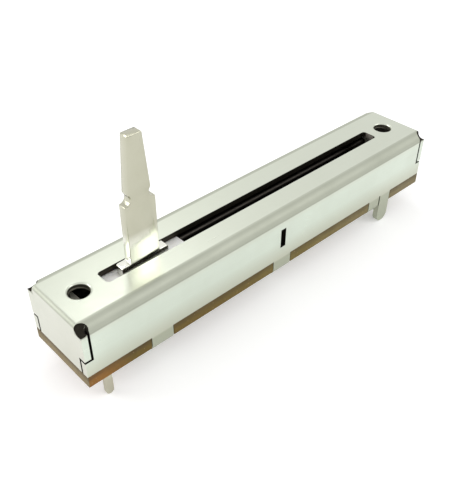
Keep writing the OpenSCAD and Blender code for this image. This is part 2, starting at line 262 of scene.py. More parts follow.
@dataclass
class Graph:
    """A node tree with short calls that add and join its nodes."""

    tree: bpy.types.NodeTree

    def node(self, kind: str, values: Values | None = None, **settings: object) -> Node:
        """Adds a node.

        Args:
            kind: Blender's name for the node type.
            values: value or source socket for each input, by name or place.
            settings: properties of the node itself.

        Returns:
            The new node.
        """
        made = self.tree.nodes.new(kind)
        for name, value in settings.items():
            setattr(made, name, value)
        for name, value in (values or {}).items():
            self.feed(made.inputs[name], value)
        return made

    def feed(self, target: Socket, value: Value) -> None:
        """Links a source socket to an input, or sets the input's value.

        Args:
            target: the input.
            value: the source socket, or the number, vector or colour to set.
        """
        if isinstance(value, Socket):
            self.tree.links.new(value, target)
        elif target.type == "RGBA":
            target.default_value = (*value, 1.0)
        else:
            target.default_value = value

    def math(self, operation: str, first: Value, second: Value = 0.0) -> Socket:
        """Works out one sum, product or the like of two values."""
        return self.node("ShaderNodeMath", {0: first, 1: second}, operation=operation).outputs[0]

    def fold(self, operation: str, *values: Value) -> Value:
        """Joins any number of values by one operation."""
        return reduce(lambda total, value: self.math(operation, total, value), values)

    def product(self, *values: Value) -> Value:
        """Multiplies any number of values."""
        return self.fold("MULTIPLY", *values)

    def largest(self, *values: Value) -> Value:
        """Gives the largest of any number of values."""
        return self.fold("MAXIMUM", *values)

    def less(self, first: Value, second: Value) -> Socket:
        """Gives 1 where the first value is less than the second."""
        return self.math("LESS_THAN", first, second)

    def more(self, first: Value, second: Value) -> Socket:
        """Gives 1 where the first value is more than the second."""
        return self.math("GREATER_THAN", first, second)

    def weighted(self, *terms: tuple[Value, float], start: float = 0.0) -> Value:
        """Adds values, each times its weight, to a start value."""
        return self.fold("ADD", start, *(self.product(value, weight) for value, weight in terms))

    def distance(self, *places: tuple[Value, float]) -> Socket:
        """Gives the distance from a line or point, of which each coordinate comes with its value."""
        steps = [self.math("SUBTRACT", value, middle) for value, middle in places]
        return self.math("SQRT", self.fold("ADD", *(self.product(step, step) for step in steps)))

    def scaled(self, vector: Value, factors: Value) -> Socket:
        """Multiplies each coordinate of a vector by its own factor."""
        return self.node("ShaderNodeVectorMath", {0: vector, 1: factors}, operation="MULTIPLY").outputs[0]

    def layered(self, colour: Value, *layers: tuple[Value, Value]) -> Value:
        """Lays colours over a first one.

        Args:
            colour: the first colour.
            layers: the share, from 0 to 1, and the colour of each layer, in order.

        Returns:
            The socket with the last mix.
        """
        for share, over in layers:
            made = self.node("ShaderNodeMix", {0: share, 6: colour, 7: over}, data_type="RGBA")
            colour = made.outputs[2]
        return colour

    def spread(
        self, value: Value, low: float, high: float, to_low: float = 0.0, to_high: float = 1.0
    ) -> Socket:
        """Carries a value from the range low, high to the range to_low, to_high, clamped at both ends."""
        values = {0: value, 1: low, 2: high, 3: to_low, 4: to_high}
        return self.node("ShaderNodeMapRange", values).outputs[0]

    def between(self, value: Value, low: float, high: float, soft: float) -> Socket:
        """Gives 1 where a value lies between two limits, with soft borders."""
        fall = self.spread(value, high - soft, high + soft, 1.0, 0.0)
        return self.product(self.spread(value, low - soft, low + soft), fall)

    def noise(self, vector: Value, scale: Value, detail: float, roughness: float = 0.5) -> Socket:
        """Adds a noise texture and gives its value."""
        values = {"Vector": vector, "Scale": scale, "Detail": detail, "Roughness": roughness}
        return self.node("ShaderNodeTexNoise", values).outputs["Fac"]

    def axes(self, vector: Value) -> list[Socket]:
        """Splits a vector into its X, Y and Z values."""
        return list(self.node("ShaderNodeSeparateXYZ", {0: vector}).outputs)


@dataclass
class Surface(Graph):
    """A material's node tree with its shader, and the surface point in millimetres."""

    shader: Node
    place: Socket

    @cached_property
    def far(self) -> tuple[Socket, Socket, Socket]:
        """Distances from the middle, along the travel and across it, and the height."""
        x, y, z = self.axes(self.place)
        return self.math("ABSOLUTE", x), self.math("ABSOLUTE", y), z

    def paint(self, colour: Value, rough: Value, height: Value, depth: float) -> None:
        """Feeds the shader.

        Args:
            colour: the base colour.
            rough: the roughness.
            height: height map of the bump.
            depth: depth of the bump in millimetres.
        """
        bump = self.node("ShaderNodeBump", {"Height": height, "Distance": depth * MM})
        self.feed(self.shader.inputs["Base Color"], colour)
        self.feed(self.shader.inputs["Roughness"], rough)
        self.feed(self.shader.inputs["Normal"], bump.outputs[0])


class Effect(Graph):
    """A surface effect that several finishes share, in a node group of its own."""

    inputs: dict[str, tuple[str, Value]] = {}

    def __init__(self) -> None:
        """Finds the effect's node group, or builds it the first time."""
        name = type(self).__name__
        found = bpy.data.node_groups.get(name)
        super().__init__(found or bpy.data.node_groups.new(name, "ShaderNodeTree"))
        if not found:
            self.build()

    def build(self) -> None:
        """Gives the group its named sockets, and joins the effect's mask to the output."""
        interface = self.tree.interface
        interface.new_socket("Vector", in_out="INPUT", socket_type="NodeSocketVector")
        for name, (kind, value) in self.inputs.items():
            interface.new_socket(name, in_out="INPUT", socket_type=kind).default_value = value
        interface.new_socket("Mask", in_out="OUTPUT", socket_type="NodeSocketFloat")
        self.given = self.node("NodeGroupInput").outputs
        self.node("NodeGroupOutput", {"Mask": self.mask()})

    def mask(self) -> Value:
        """Works out the effect's mask from the group's inputs."""
        raise NotImplementedError

    def on(self, surface: Surface, **values: Value) -> Socket:
        """Places the effect in a material with values for its inputs, and gives its mask."""
        values = {"Vector": surface.place, **values}
        return surface.node("ShaderNodeGroup", values, node_tree=self.tree).outputs["Mask"]


class RollingLines(Effect):
    """Fine lines that rolling or drawing leaves along a metal."""

    inputs = {"Density": ("NodeSocketVector", Axis.ALONG_X.value)}

    def mask(self) -> Value:
        """Mixes a coarse and a fine noise, both stretched along the lines.

        Returns:
            The socket with the lines.
        """
        drawn = self.scaled(self.given["Vector"], self.given["Density"])
        coarse = self.noise(drawn, 0.6, 2.0)
        fine = self.noise(drawn, 3.0, 4.0, 0.7)
        return self.spread(self.weighted((coarse, 0.45), (fine, 0.55)), 0.32, 0.68)


class Clouds(Effect):
    """Soft blotches of a given size, for stains, handling and uneven plating."""

    inputs = {"Size": ("NodeSocketFloat", 4.0), "Sharpness": ("NodeSocketFloat", 0.5)}

    def mask(self) -> Value:
        """Narrows a noise's range around its middle by the sharpness.

        Returns:
            The socket with the blotches.
        """
        scale = self.math("DIVIDE", 1.0, self.given["Size"])
        cloud = self.noise(self.given["Vector"], scale, 4.0, 0.55)
        softness = self.math("SUBTRACT", 1.0, self.given["Sharpness"])
        reach = self.weighted((softness, 0.3), start=0.02)
        above = self.math("SUBTRACT", cloud, self.math("SUBTRACT", 0.5, reach))
        return self.spread(self.math("DIVIDE", above, self.product(reach, 2.0)), 0.0, 1.0)


class Scratches(Effect):
    """Thin dashes in three directions, sparse where Amount is low."""

    inputs = {"Amount": ("NodeSocketFloat", 0.3), "Width": ("NodeSocketFloat", 0.05)}
    turning_axis: Spot = (0.3, 0.25, 1.0)
    turns: tuple[float, ...] = (0.35, -0.9, 1.45)
    along: float = 0.35

    def mask(self) -> Value:
        """Keeps the peaks of three turned and strongly stretched noises.

        Returns:
            The socket with the dashes.
        """
        edge = self.spread(self.given["Amount"], 0.0, 1.0, 0.78, 0.6)
        across = self.math("DIVIDE", 1.0, self.given["Width"])
        thin = self.node("ShaderNodeCombineXYZ", {0: self.along, 1: across, 2: across}).outputs[0]
        dashes = []
        for turn in self.turns:
            values = {"Vector": self.given["Vector"], "Axis": self.turning_axis, "Angle": turn}
            turned = self.node("ShaderNodeVectorRotate", values).outputs[0]
            peak = self.math("SUBTRACT", self.noise(self.scaled(turned, thin), 0.5, 1.0), edge)
            dashes.append(self.spread(peak, 0.0, 0.05))
        return self.largest(*dashes)


class Grain(Effect):
    """Fine even grain, as a moulded, printed or blasted surface has it."""

    inputs = {"Size": ("NodeSocketFloat", 0.1)}

    def mask(self) -> Value:
        """Mixes a fine noise with small rounded cells.

        Returns:
            The socket with the grain.
        """
        scale = self.math("DIVIDE", 1.0, self.given["Size"])
        fine = self.noise(self.given["Vector"], scale, 2.0, 0.6)
        values = {"Vector": self.given["Vector"], "Scale": scale}
        cells = self.node("ShaderNodeTexVoronoi", values, feature="SMOOTH_F1").outputs["Distance"]
        return self.weighted((fine, 0.6), (cells, 0.4))


class Specks(Effect):
    """Scattered small specks, such as dust or fibres' ends."""

    inputs = {"Spacing": ("NodeSocketFloat", 0.8), "Radius": ("NodeSocketFloat", 0.12)}
    dropped: float = 0.7

    def mask(self) -> Value:
        """Keeps the middle of each cell, and drops most cells by their random shade.

        Returns:
            The socket with the specks.
        """
        values = {"Vector": self.given["Vector"], "Scale": self.math("DIVIDE", 1.0, self.given["Spacing"])}
        cells = self.node("ShaderNodeTexVoronoi", values).outputs
        chosen = self.more(self.axes(cells["Color"])[0], self.dropped)
        return self.product(self.less(cells["Distance"], self.given["Radius"]), chosen)


# Finishes


@dataclass(frozen=True)
class Finish:
    """A finish with its own node material, on Object coordinates in millimetres."""

    name: str
    colour: Colour
    roughness: float
    metal: float = 0.0
    depth: float = 0.01

    def dress(self, surface: Surface) -> None:
        """Adds the finish's detail to its material."""
        raise NotImplementedError

    def material(self) -> bpy.types.Material:
        """Gives the material, and builds it the first time.

        Returns:
            The finished material.
        """
        found = bpy.data.materials.get("finish_" + self.name)
        if found:
            return found
        made = bpy.data.materials.new("finish_" + self.name)
        made.use_nodes = True
        made.diffuse_color = (*self.colour, 1.0)
        made.node_tree.nodes.clear()
        graph = Graph(made.node_tree)
        place = graph.scaled(graph.node("ShaderNodeTexCoord").outputs["Object"], (1 / MM,) * 3)
        values = {"Base Color": self.colour, "Roughness": self.roughness, "Metallic": self.metal}
        shader = graph.node("ShaderNodeBsdfPrincipled", values)
        graph.node("ShaderNodeOutputMaterial", {"Surface": shader.outputs[0]})
        self.dress(Surface(made.node_tree, shader, place))
        return made


@dataclass(frozen=True)
class TinPlate(Finish):
    """Rolled tin plate: faint lines, uneven satin, handling marks, dull bends painted darker as shade, and
    cut faces painted near-black as shade.

    Its sizes are the cover's, in millimetres, and tell the parts of the sheet apart by
    their place. The pairs wall_z, low_z and tab_z give where a painted light or shade starts
    and where it is complete: lighter on the wall, darker low on the wall and on the tabs.
    """

    metal: float = 1.0
    depth: float = 0.003
    shade_colour: Colour = (0.54, 0.57, 0.48)
    # Painted light and shade on one tin plate: the wall lighter, the low wall and the tabs darker, the end
    # flap lighter.
    painted_wall_light: Colour = (0.69, 0.76, 0.665)
    painted_low_shade: Colour = (0.55, 0.565, 0.46)
    painted_tab_shade: Colour = (0.4, 0.42, 0.32)
    painted_flap_light: Colour = (0.69, 0.69, 0.61)
    # Painted shade in the bends and in the creases beside them.
    painted_bend_shade: Colour = (0.3, 0.31, 0.25)
    # Painted shade: the cut faces, seams, reliefs and windows near-black, darker than their bare steel; the
    # bores a little lighter; the inner faces dark.
    painted_cut_shade: Colour = (0.05, 0.045, 0.035)
    painted_bore_shade: Colour = (0.17, 0.16, 0.13)
    # Painted light on the cut face at the slot's far end.
    painted_slot_end_light: Colour = (0.62, 0.57, 0.5)
    painted_inner_shade: Colour = (0.1, 0.09, 0.07)
    wall_z: Pair = (-0.9, -2.0)
    low_z: Pair = (-4.2, -6.8)
    tab_z: Pair = (-6.9, -7.2)
    bend_share: float = 0.55
    crease_share: float = 0.2
    outer: Spot = (30.0, 5.25, 6.95)
    sheet: float = 0.8
    bend_r: float = 1.2
    end_bend_r: float = 0.5
    seam_gap: float = 0.3
    seam_step_z: float = -4.6
    slot_half: Pair = (23.61, 1.135)
    slot_end_half: float = 0.68
    hole_x: float = 26.6
    hole_r: float = 1.262
    relief: Spot = (29.65, 4.9, -0.35)
    relief_r: float = 0.858
    window_half: float = 0.462
    window_z: Pair = (-5.22, -2.38)
    skin: float = 0.01
    crisp: float = 0.001

    def cut_faces(self, surface: Surface) -> Value:
        """Finds the bare cut faces: slot, holes, corner reliefs, seams and windows.

        Args:
            surface: the material's nodes.

        Returns:
            The socket that is 1 on the cut faces.
        """
        far_x, far_y, z = surface.far
        below_top = surface.less(z, -3 * self.skin)
        in_slot = surface.product(
            surface.less(far_x, self.slot_half[0]), surface.less(far_y, self.slot_half[1]), below_top
        )
        from_hole = surface.distance((far_x, self.hole_x), (far_y, 0.0))
        in_hole = surface.product(surface.less(from_hole, self.hole_r), below_top)
        in_relief = surface.less(surface.distance(*zip(surface.far, self.relief)), self.relief_r)
        under_end = surface.less(far_x, self.outer[0] - self.skin)
        under_wall = surface.less(far_y, self.outer[1] - self.skin)
        in_seam = surface.product(self.seams(surface), under_end, under_wall)
        in_window = surface.product(
            surface.less(far_x, self.window_half),
            under_wall,
            surface.more(far_y, self.outer[1] - self.sheet),
            surface.more(z, self.window_z[0]),
            surface.less(z, self.window_z[1]),
        )
        return surface.largest(in_slot, in_hole, in_relief, in_seam, in_window)

    def seams(self, surface: Surface) -> Value:
        """Finds the corner seams: down the wall, round the corner, and down the flap.

        Args:
            surface: the material's nodes.

        Returns:
            The socket that is 1 in the seams.
        """
        far_x, far_y, z = surface.far
        inner_x = self.outer[0] - self.sheet
        inner_y = self.outer[1] - self.sheet
        step_high = self.seam_step_z + self.skin
        step_low = self.seam_step_z - self.seam_gap - self.skin
        upper = surface.product(
            surface.between(far_x, inner_x - self.seam_gap - self.skin, inner_x + self.skin, self.crisp),
            surface.more(far_y, inner_y),
            surface.between(z, step_low, self.relief[2], self.crisp),
        )
        step = surface.product(
            surface.more(far_x, inner_x - self.seam_gap),
            surface.more(far_y, inner_y - self.seam_gap),
            surface.between(z, step_low, step_high, self.crisp),
        )
        lower = surface.product(
            surface.between(far_y, inner_y - self.seam_gap - self.skin, inner_y + self.skin, self.crisp),
            surface.more(far_x, inner_x),
            surface.between(z, self.skin - self.outer[2], step_high, self.crisp),
        )
        return surface.largest(upper, step, lower)

    def bends(self, surface: Surface) -> Value:
        """Finds the bends, where the tin is duller and painted darker as shade, and the creases beside the
        long ones, painted as thin lines of shade.

        Args:
            surface: the material's nodes.

        Returns:
            The socket that is 0 on the flat faces and higher on bends and creases.
        """
        far_x, far_y, z = surface.far
        start = self.outer[1] - self.bend_r
        end = self.outer[0] - self.end_bend_r
        across = surface.product(
            surface.spread(far_y, start - 0.1, start + 0.2),
            surface.spread(z, -self.bend_r - 0.1, -self.bend_r + 0.1),
        )
        upper = surface.product(
            surface.between(far_y, start - 0.12, start + 0.1, 0.05), surface.more(z, -0.05)
        )
        lower = surface.product(
            surface.between(z, -self.bend_r - 0.1, -self.bend_r + 0.12, 0.05),
            surface.more(far_y, self.outer[1] - 0.05),
        )
        at_end = surface.product(
            surface.spread(far_x, end, end + 0.2),
            surface.spread(z, -self.end_bend_r, -self.end_bend_r + 0.2),
            self.bend_share,
        )
        along = (across, self.bend_share), (upper, self.crease_share), (lower, self.crease_share)
        return surface.largest(surface.weighted(*along), at_end)

    def inner_faces(self, surface: Surface) -> Value:
        """Finds the sheet's inner faces, and gives the socket that is 1 on them."""
        far_x, far_y, z = surface.far
        return surface.product(
            surface.less(far_x, self.outer[0] - self.sheet + self.skin),
            surface.less(far_y, self.outer[1] - self.sheet + self.skin),
            surface.less(z, self.skin - self.sheet),
            surface.more(z, -self.outer[2]),
        )

    def dress(self, surface: Surface) -> None:
        """Adds rolling lines, clouds and scratches, painted light and shade by face and height, bends with
        painted shade, cut faces painted near-black as shade with a painted light at the slot's far end, and
        the inside painted dark as shade.

        Args:
            surface: the material's nodes.
        """
        far_x, far_y, z = surface.far
        lines = RollingLines().on(surface)
        clouds = Clouds().on(surface, Size=7.0, Sharpness=0.25)
        blooms = Clouds().on(surface, Size=1.6, Sharpness=0.1)
        marks = Scratches().on(surface, Amount=0.25, Width=0.04)
        bend = self.bends(surface)
        cut = self.cut_faces(surface)
        past_slot = surface.more(far_x, self.slot_half[0] + 0.5)
        in_bore = surface.product(cut, past_slot, surface.less(far_y, self.hole_r))
        # Where the painted light on the slot's far end cut face goes.
        slot_end_x = surface.between(far_x, self.slot_half[0] - 0.04, self.slot_half[0], 0.005)
        painted_light_at_slot_end = surface.product(cut, slot_end_x, surface.less(far_y, self.slot_end_half))
        on_flap = surface.spread(far_x, self.outer[0] - 0.05, self.outer[0] - self.skin)
        colour = surface.layered(
            self.colour,
            # Painted light on the wall; painted shade low on the wall and on the tabs.
            (surface.spread(z, *self.wall_z), self.painted_wall_light),
            (surface.spread(z, *self.low_z), self.painted_low_shade),
            (surface.spread(z, *self.tab_z), self.painted_tab_shade),
            # Painted light on the end flap.
            (on_flap, self.painted_flap_light),
            (surface.weighted((clouds, 0.3), (lines, 0.1), (blooms, 0.08)), self.shade_colour),
            # Painted shade in the bends, and thin lines of it beside the long bends.
            (bend, self.painted_bend_shade),
            (surface.product(marks, 0.25), self.shade_colour),
            # Painted shade: the inner faces dark.
            (self.inner_faces(surface), self.painted_inner_shade),
            # Painted shade: the cut faces near-black, darker than bare steel is.
            (cut, self.painted_cut_shade),
            # Painted shade in the bores, a little lighter than the other cut faces.
            (in_bore, self.painted_bore_shade),
            # Painted light: the slot's far end cut face lighter.
            (painted_light_at_slot_end, self.painted_slot_end_light),
        )
        duller = (clouds, 0.1), (lines, 0.05), (cut, 0.2), (bend, 0.5)
        rough = surface.weighted(*duller, start=self.roughness - 0.07)
        height = surface.weighted((lines, 0.5), (blooms, 0.5), (marks, -0.6))
        surface.paint(colour, rough, height, self.depth)


@dataclass(frozen=True)
class PhenolicBoard(Finish):
    """Brown phenolic paper board: mottled, fibrous, of a tone that changes along it, and with painted shade
    along its top edge under the cover's wall.

    Each pair gives where a tone starts and where it is complete, in millimetres.
    """

    depth: float = 0.012
    gloss: float = 0.25
    warm: Colour = (0.38, 0.17, 0.03)
    olive: Colour = (0.19, 0.125, 0.02)
    pale: Colour = (0.3, 0.25, 0.13)
    # Dark colour of the fibres, also used for the painted shade under the cover's wall.
    sawn: Colour = (0.33, 0.26, 0.14)
    fibre_and_shade_colour: Colour = (0.07, 0.05, 0.025)
    speck: Colour = (0.62, 0.42, 0.22)
    olive_x: Pair = (-28.0, -24.0)
    middle_x: Pair = (-14.0, 2.0)
    pale_x: Pair = (4.0, 26.0)
    sawn_x: Pair = (-29.9, -29.95)
    # Painted shade under the cover's wall, darkest at the board's top edge.
    painted_shade_z: Pair = (-7.9, -7.1)

    def dress(self, surface: Surface) -> None:
        """Adds the changes of tone, paper layers and fibres, painted shade along the top edge where the
        cover's wall overhangs it, and specks.

        Args:
            surface: the material's nodes.
        """
        x, _, z = surface.axes(surface.place)
        layers = RollingLines().on(surface, Density=(0.5, 0.5, 9.0))
        fibres = RollingLines().on(surface, Density=(0.8, 7.0, 2.0))
        mottle = Clouds().on(surface, Size=3.0, Sharpness=0.2)
        specks = Specks().on(surface, Spacing=0.5, Radius=0.16)
        # Painted shade: the board darker towards its top edge, under the cover's wall.
        painted_shade_under_wall = surface.spread(z, *self.painted_shade_z)
        dark = surface.weighted((layers, 0.22), (fibres, 0.16), (mottle, 0.14), (painted_shade_under_wall, 0.45))
        colour = surface.layered(
            self.warm,
            (surface.spread(x, *self.olive_x), self.olive),
            (surface.spread(x, *self.middle_x), self.colour),
            (surface.spread(x, *self.pale_x), self.pale),
            (surface.spread(x, *self.sawn_x), self.sawn),
            (dark, self.fibre_and_shade_colour),
            (surface.product(specks, 0.25), self.speck),
        )
        surface.shader.inputs["Specular IOR Level"].default_value = self.gloss
        rough = surface.weighted((mottle, 0.15), start=self.roughness)
        surface.paint(colour, rough, surface.weighted((layers, 0.6), (fibres, 0.4)), self.depth)


@dataclass(frozen=True)
class PrintedInk(Finish):
    """Screen-printed ink: fine grain, with brighter lines where the wiper runs."""

    depth: float = 0.006
    worn: Colour = (0.16, 0.16, 0.16)
    row: float = 3.4
    row_pitch: float = 0.48
    row_half: float = 0.09
    patch_shade: float = 0.7

    def dress(self, surface: Surface) -> None:
        """Adds the print's grain, duller patches and the three lines that the wiper polishes.

        Args:
            surface: the material's nodes.
        """
        far_y = surface.far[1]
        grain = Grain().on(surface, Size=0.09)
        patches = Clouds().on(surface, Size=2.5, Sharpness=0.2)
        lines = RollingLines().on(surface, Density=(0.1, 9.0, 1.0))
        middles = [self.row + step * self.row_pitch for step in (-1, 0, 1)]
        half = self.row_half
        rows = [surface.between(far_y, middle - half, middle + half, 0.03) for middle in middles]
        track = surface.product(surface.largest(*rows), surface.spread(lines, 0.0, 1.0, 0.5, 1.0))
        colour = surface.layered(
            self.colour,
            (surface.product(track, 0.7), self.worn),
            (surface.product(patches, 0.25), tuple(self.patch_shade * part for part in self.colour)),
        )
        rough = surface.weighted((track, -0.25), start=self.roughness)
        surface.paint(colour, rough, surface.weighted((grain, 1.0), (track, -0.5)), self.depth)


@dataclass(frozen=True)
class PlatedMetal(Finish):
    """Plated or bare metal with drawn lines, stains and small scratches."""

    metal: float = 1.0
    depth: float = 0.004
    stain: Colour = (0.5, 0.45, 0.32)
    lines: Axis = Axis.ALONG_Z
    stain_share: float = 0.3
    mark_share: float = 0.25
    # Painted reflection: a lighter colour towards the foot, and the heights where it starts and is
    # complete.
    foot: Colour | None = None
    foot_z: Pair = (4.2, 2.6)

    def dress(self, surface: Surface) -> None:
        """Adds stains, drawn lines and scratches, and, if it has one, a painted reflection that makes it
        lighter towards its foot.

        Args:
            surface: the material's nodes.
        """
        lines = RollingLines().on(surface, Density=self.lines.value)
        stains = Clouds().on(surface, Size=2.2, Sharpness=0.3)
        marks = Scratches().on(surface, Amount=self.mark_share, Width=0.03)
        stained = surface.product(stains, self.stain_share)
        layers = [(stained, self.stain), (surface.product(lines, 0.1), self.stain)]
        # Painted reflection of the cover's bright top, lighter towards the foot.
        if self.foot:
            layers.append((surface.spread(surface.far[2], *self.foot_z), self.foot))
        rough = surface.weighted((stains, 0.12), (marks, 0.15), start=self.roughness - 0.05)
        height = surface.weighted((lines, 1.0), (marks, -0.8))
        surface.paint(surface.layered(self.colour, *layers), rough, height, self.depth)


@dataclass(frozen=True)
class Moulding(Finish):
    """Moulded acetal or soft pad: satin skin, flow clouds, grain and dust."""

    shade: Colour = (0.91, 0.9, 0.85)
    dust: Colour = (0.4, 0.37, 0.3)
    grain_size: float = 0.12
    glow: float = 0.12
    glow_spread: Colour = (1.0, 0.9, 0.7)
    glow_depth: float = 0.6

    def dress(self, surface: Surface) -> None:
        """Adds the moulding's skin, flow clouds and specks.

        Args:
            surface: the material's nodes.
        """
        grain = Grain().on(surface, Size=self.grain_size)
        flow = Clouds().on(surface, Size=3.5, Sharpness=0.1)
        specks = Specks().on(surface, Spacing=0.9, Radius=0.08)
        layers = (surface.product(flow, 0.3), self.shade), (surface.product(specks, 0.3), self.dust)
        surface.shader.inputs["Subsurface Weight"].default_value = self.glow
        surface.shader.inputs["Subsurface Radius"].default_value = self.glow_spread
        surface.shader.inputs["Subsurface Scale"].default_value = self.glow_depth * MM
        rough = surface.weighted((grain, 0.2), start=self.roughness - 0.08)
        surface.paint(surface.layered(self.colour, *layers), rough, grain, self.depth)


FINISHES: dict[str, Finish] = {
    finish.name: finish
    for finish in (
        TinPlate("tinned_steel", (0.65, 0.68, 0.585), 0.31),
        PhenolicBoard("phenolic_board", (0.24, 0.18, 0.045), 0.55),
        PrintedInk("carbon_print", (0.028, 0.028, 0.03), 0.6),
        PrintedInk("silver_print", (0.6, 0.6, 0.56), 0.5, metal=0.85, worn=(0.8, 0.8, 0.77), row=1.53),
        PlatedMetal("tinned_brass", (0.5, 0.49, 0.4), 0.3),
        # The rods' steel painted near-black: painted shade, as the inside of the housing shows dark.
        PlatedMetal(
            "rod_steel", (0.05, 0.045, 0.04), 0.34, stain=(0.03, 0.027, 0.02), lines=Axis.ALONG_X
        ),
        # The lever's foot painted lighter: a painted reflection of the cover's bright top.
        PlatedMetal(
            "lever_steel", (0.5, 0.495, 0.395), 0.18, stain=(0.44, 0.43, 0.32), foot=(0.86, 0.86, 0.78)
        ),
        PlatedMetal("wiper_bronze", (0.78, 0.55, 0.26), 0.25, lines=Axis.ALONG_X),
        Moulding("white_moulding", (0.94, 0.94, 0.91), 0.42),
        # Dark moulding for the end blocks: painted shade, as the inside of the housing shows dark.
        Moulding(
            "dark_moulding",
            (0.05, 0.045, 0.038),
            0.5,
            shade=(0.03, 0.027, 0.02),
            dust=(0.2, 0.18, 0.15),
            glow=0.0,
        ),
        Moulding(
            "bumper_rubber", (0.7, 0.68, 0.58), 0.7, shade=(0.6, 0.57, 0.46), grain_size=0.2, glow=0.05
        ),
    )
}


# Sub-assemblies


@dataclass
class SubAssembly:
    """Pieces of the object that are built and dressed together."""

    nodes: tuple[str, ...] = ()
    own_finish: tuple[tuple[str, str], ...] = ()

    def dress(self) -> None:
        """Gives each CAD node its own finish, or else the finish of its record slot."""
        slots = {part["node"]: part["material_slot"] for part in frame["record"]["subparts"]}
        slots.update(self.own_finish)
        for name in self.nodes:
            for place in frame["nodes"][name].material_slots:
                place.material = FINISHES[slots[name]].material()
            LOG.info("%s: packed solid, finish %s", name, slots[name])

    def build(self) -> None:
        """Builds the sub-assembly's own pieces, if it has any."""


@dataclass
class Cover(SubAssembly):
    """The folded cover, with the threads of its two holes."""

    nodes: tuple[str, ...] = ("cover",)
    hole_x: float = 26.6
    bore_r: float = 1.25
    rim_r: float = 0.25
    ridge_h: float = 0.05
    ridge_root: float = 0.02
    ridge_half: float = 0.06
    pitch: float = 0.5
    thread_top: float = -0.15
    thread_bottom: float = -0.78
    steps_per_turn: int = 96
    run_out: float = 0.125

    def wall_radius(self, height: np.ndarray) -> np.ndarray:
        """Gives the bore's radius at a height z: in its rim of radius c, c - sqrt(c^2 - (z + c)^2) more."""
        above = np.clip(height + self.rim_r, 0.0, self.rim_r)
        return self.bore_r + self.rim_r - np.sqrt(self.rim_r**2 - above**2)

    def thread_ridge(self, middle_x: float) -> Mesh:
        """Carries a three-sided section along a helix on the bore's wall.

        At the turn a, the section's middle lies at (r cos a, r sin a, z0 + p a / 2 pi).
        Its three corners are two roots, sunk in the wall half a section up and down,
        and the crest, which stands inwards. The section shrinks to nothing at both ends,
        each over the share run_out of the helix.

        Args:
            middle_x: place of the hole along the travel.

        Returns:
            The points, and the quads that join them.
        """
        half = self.ridge_half
        turns = (self.thread_top - self.thread_bottom - 2 * half) / self.pitch
        count = int(turns * self.steps_per_turn)
        along = np.linspace(0.0, 1.0, count)[:, None]
        size = np.clip(np.minimum(along, 1.0 - along) / self.run_out, 0.0, 1.0)
        angle = 2.0 * np.pi * turns * along
        inward = np.array([-self.ridge_root, self.ridge_h, -self.ridge_root])[None, :]
        lift = np.array([half, 0.0, -half])[None, :]
        height = self.thread_bottom + half + self.pitch * turns * along + lift * size
        radius = self.wall_radius(height) - inward * size
        points = np.stack([middle_x + radius * np.cos(angle), radius * np.sin(angle), height], axis=-1)
        return points.reshape(-1, 3), grid_quads(count, 3, False, True)

    def build(self) -> None:
        """Builds the thread ridges of both holes as one piece."""
        points, faces = joined([self.thread_ridge(-self.hole_x), self.thread_ridge(self.hole_x)])
        close_poles(add_piece("screw_threads", points, faces, Body.HOUSING, "tinned_steel"))
        LOG.info("screw_threads: two thread ridges")


@dataclass
class ResistorBoard(SubAssembly):
    """The board with its printed tracks."""

    nodes: tuple[str, ...] = (
        "resistor_board",
        "carbon_track_front",
        "carbon_track_back",
        "collector_track_front",
        "collector_track_back",
    )


@dataclass
class Terminals(SubAssembly):
    """The six terminals and the rolled rivets that clamp them."""

    nodes: tuple[str, ...] = tuple(f"terminal_{pin}{row}" for row in "ab" for pin in (1, 2, 3))
    spots: tuple[Pair, ...] = (
        (-27.4, -3.4),
        (-24.4, -1.53),
        (27.4, -3.4),
        (-24.4, 3.4),
        (-24.4, 1.53),
        (27.4, 3.4),
    )
    shank_r: float = 0.45
    head_r: float = 0.81
    head_h: float = 0.25
    top_seat: float = -6.89
    bottom_seat: float = -9.05
    crown_r: float = 0.16
    hollow: float = 0.6
    fullness: float = 0.7
    steps_around: int = 40

    def section(self) -> np.ndarray:
        """Draws the rivet's section, from the middle of its rolled foot to its head.

        The foot is a half ring: its points lie at (m + w cos a, z - h (sin a)^f) for a
        from 180 to 0 degrees, where m is the ring's middle radius and w its half width,
        and f, the fullness, makes it fuller than a circle where it is below 1. The
        head's points lie at (r - c (1 - cos b), z + h sin b) for b from 0 to 90 degrees.

        Returns:
            Radius and height of each point, running upwards on the outside.
        """
        inner_r = self.shank_r / 2
        middle = (self.head_r + inner_r) / 2
        half_w = (self.head_r - inner_r) / 2
        angle = np.linspace(np.pi, 0.0, 13)
        foot_r = middle + half_w * np.cos(angle)
        foot_z = self.bottom_seat - self.head_h * np.sin(angle) ** self.fullness
        rise = np.linspace(0.0, np.pi / 2, 7)
        crown_r = self.head_r - self.crown_r * (1.0 - np.cos(rise))
        crown_z = self.top_seat + self.head_h * np.sin(rise)
        radius = [[0.0, inner_r], foot_r, [self.shank_r] * 2, crown_r, [0.0]]
        height = [
            [self.bottom_seat + self.hollow] * 2,
            foot_z,
            [self.bottom_seat, self.top_seat],
            crown_z,
            [self.top_seat + self.head_h],
        ]
        return np.stack([np.concatenate(radius), np.concatenate(height)], axis=1)

    def build(self) -> None:
        """Builds the six rolled rivets in place of the plain ones."""
        section = self.section()
        turned = [revolved(section, (x, y, 0.0), self.steps_around) for x, y in self.spots]
        piece = add_piece("rolled_rivets", *joined(turned), Body.HOUSING, "tinned_brass")
        close_poles(piece)
        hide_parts("terminal_rivets")
        LOG.info("rolled_rivets: six rivets in place of terminal_rivets")


@dataclass
class Guides(SubAssembly):
    """The rods, the end blocks that hold them, and the bumpers."""

    nodes: tuple[str, ...] = (
        "guide_rod_front",
        "guide_rod_back",
        "end_block_left",
        "end_block_right",
        "bumper_left",
        "bumper_right",
    )
    # The end blocks take the dark moulding in place of their record's finish: painted shade for the dark
    # inside of the housing.
    own_finish: tuple[tuple[str, str], ...] = (
        ("end_block_left", "dark_moulding"),
        ("end_block_right", "dark_moulding"),
    )


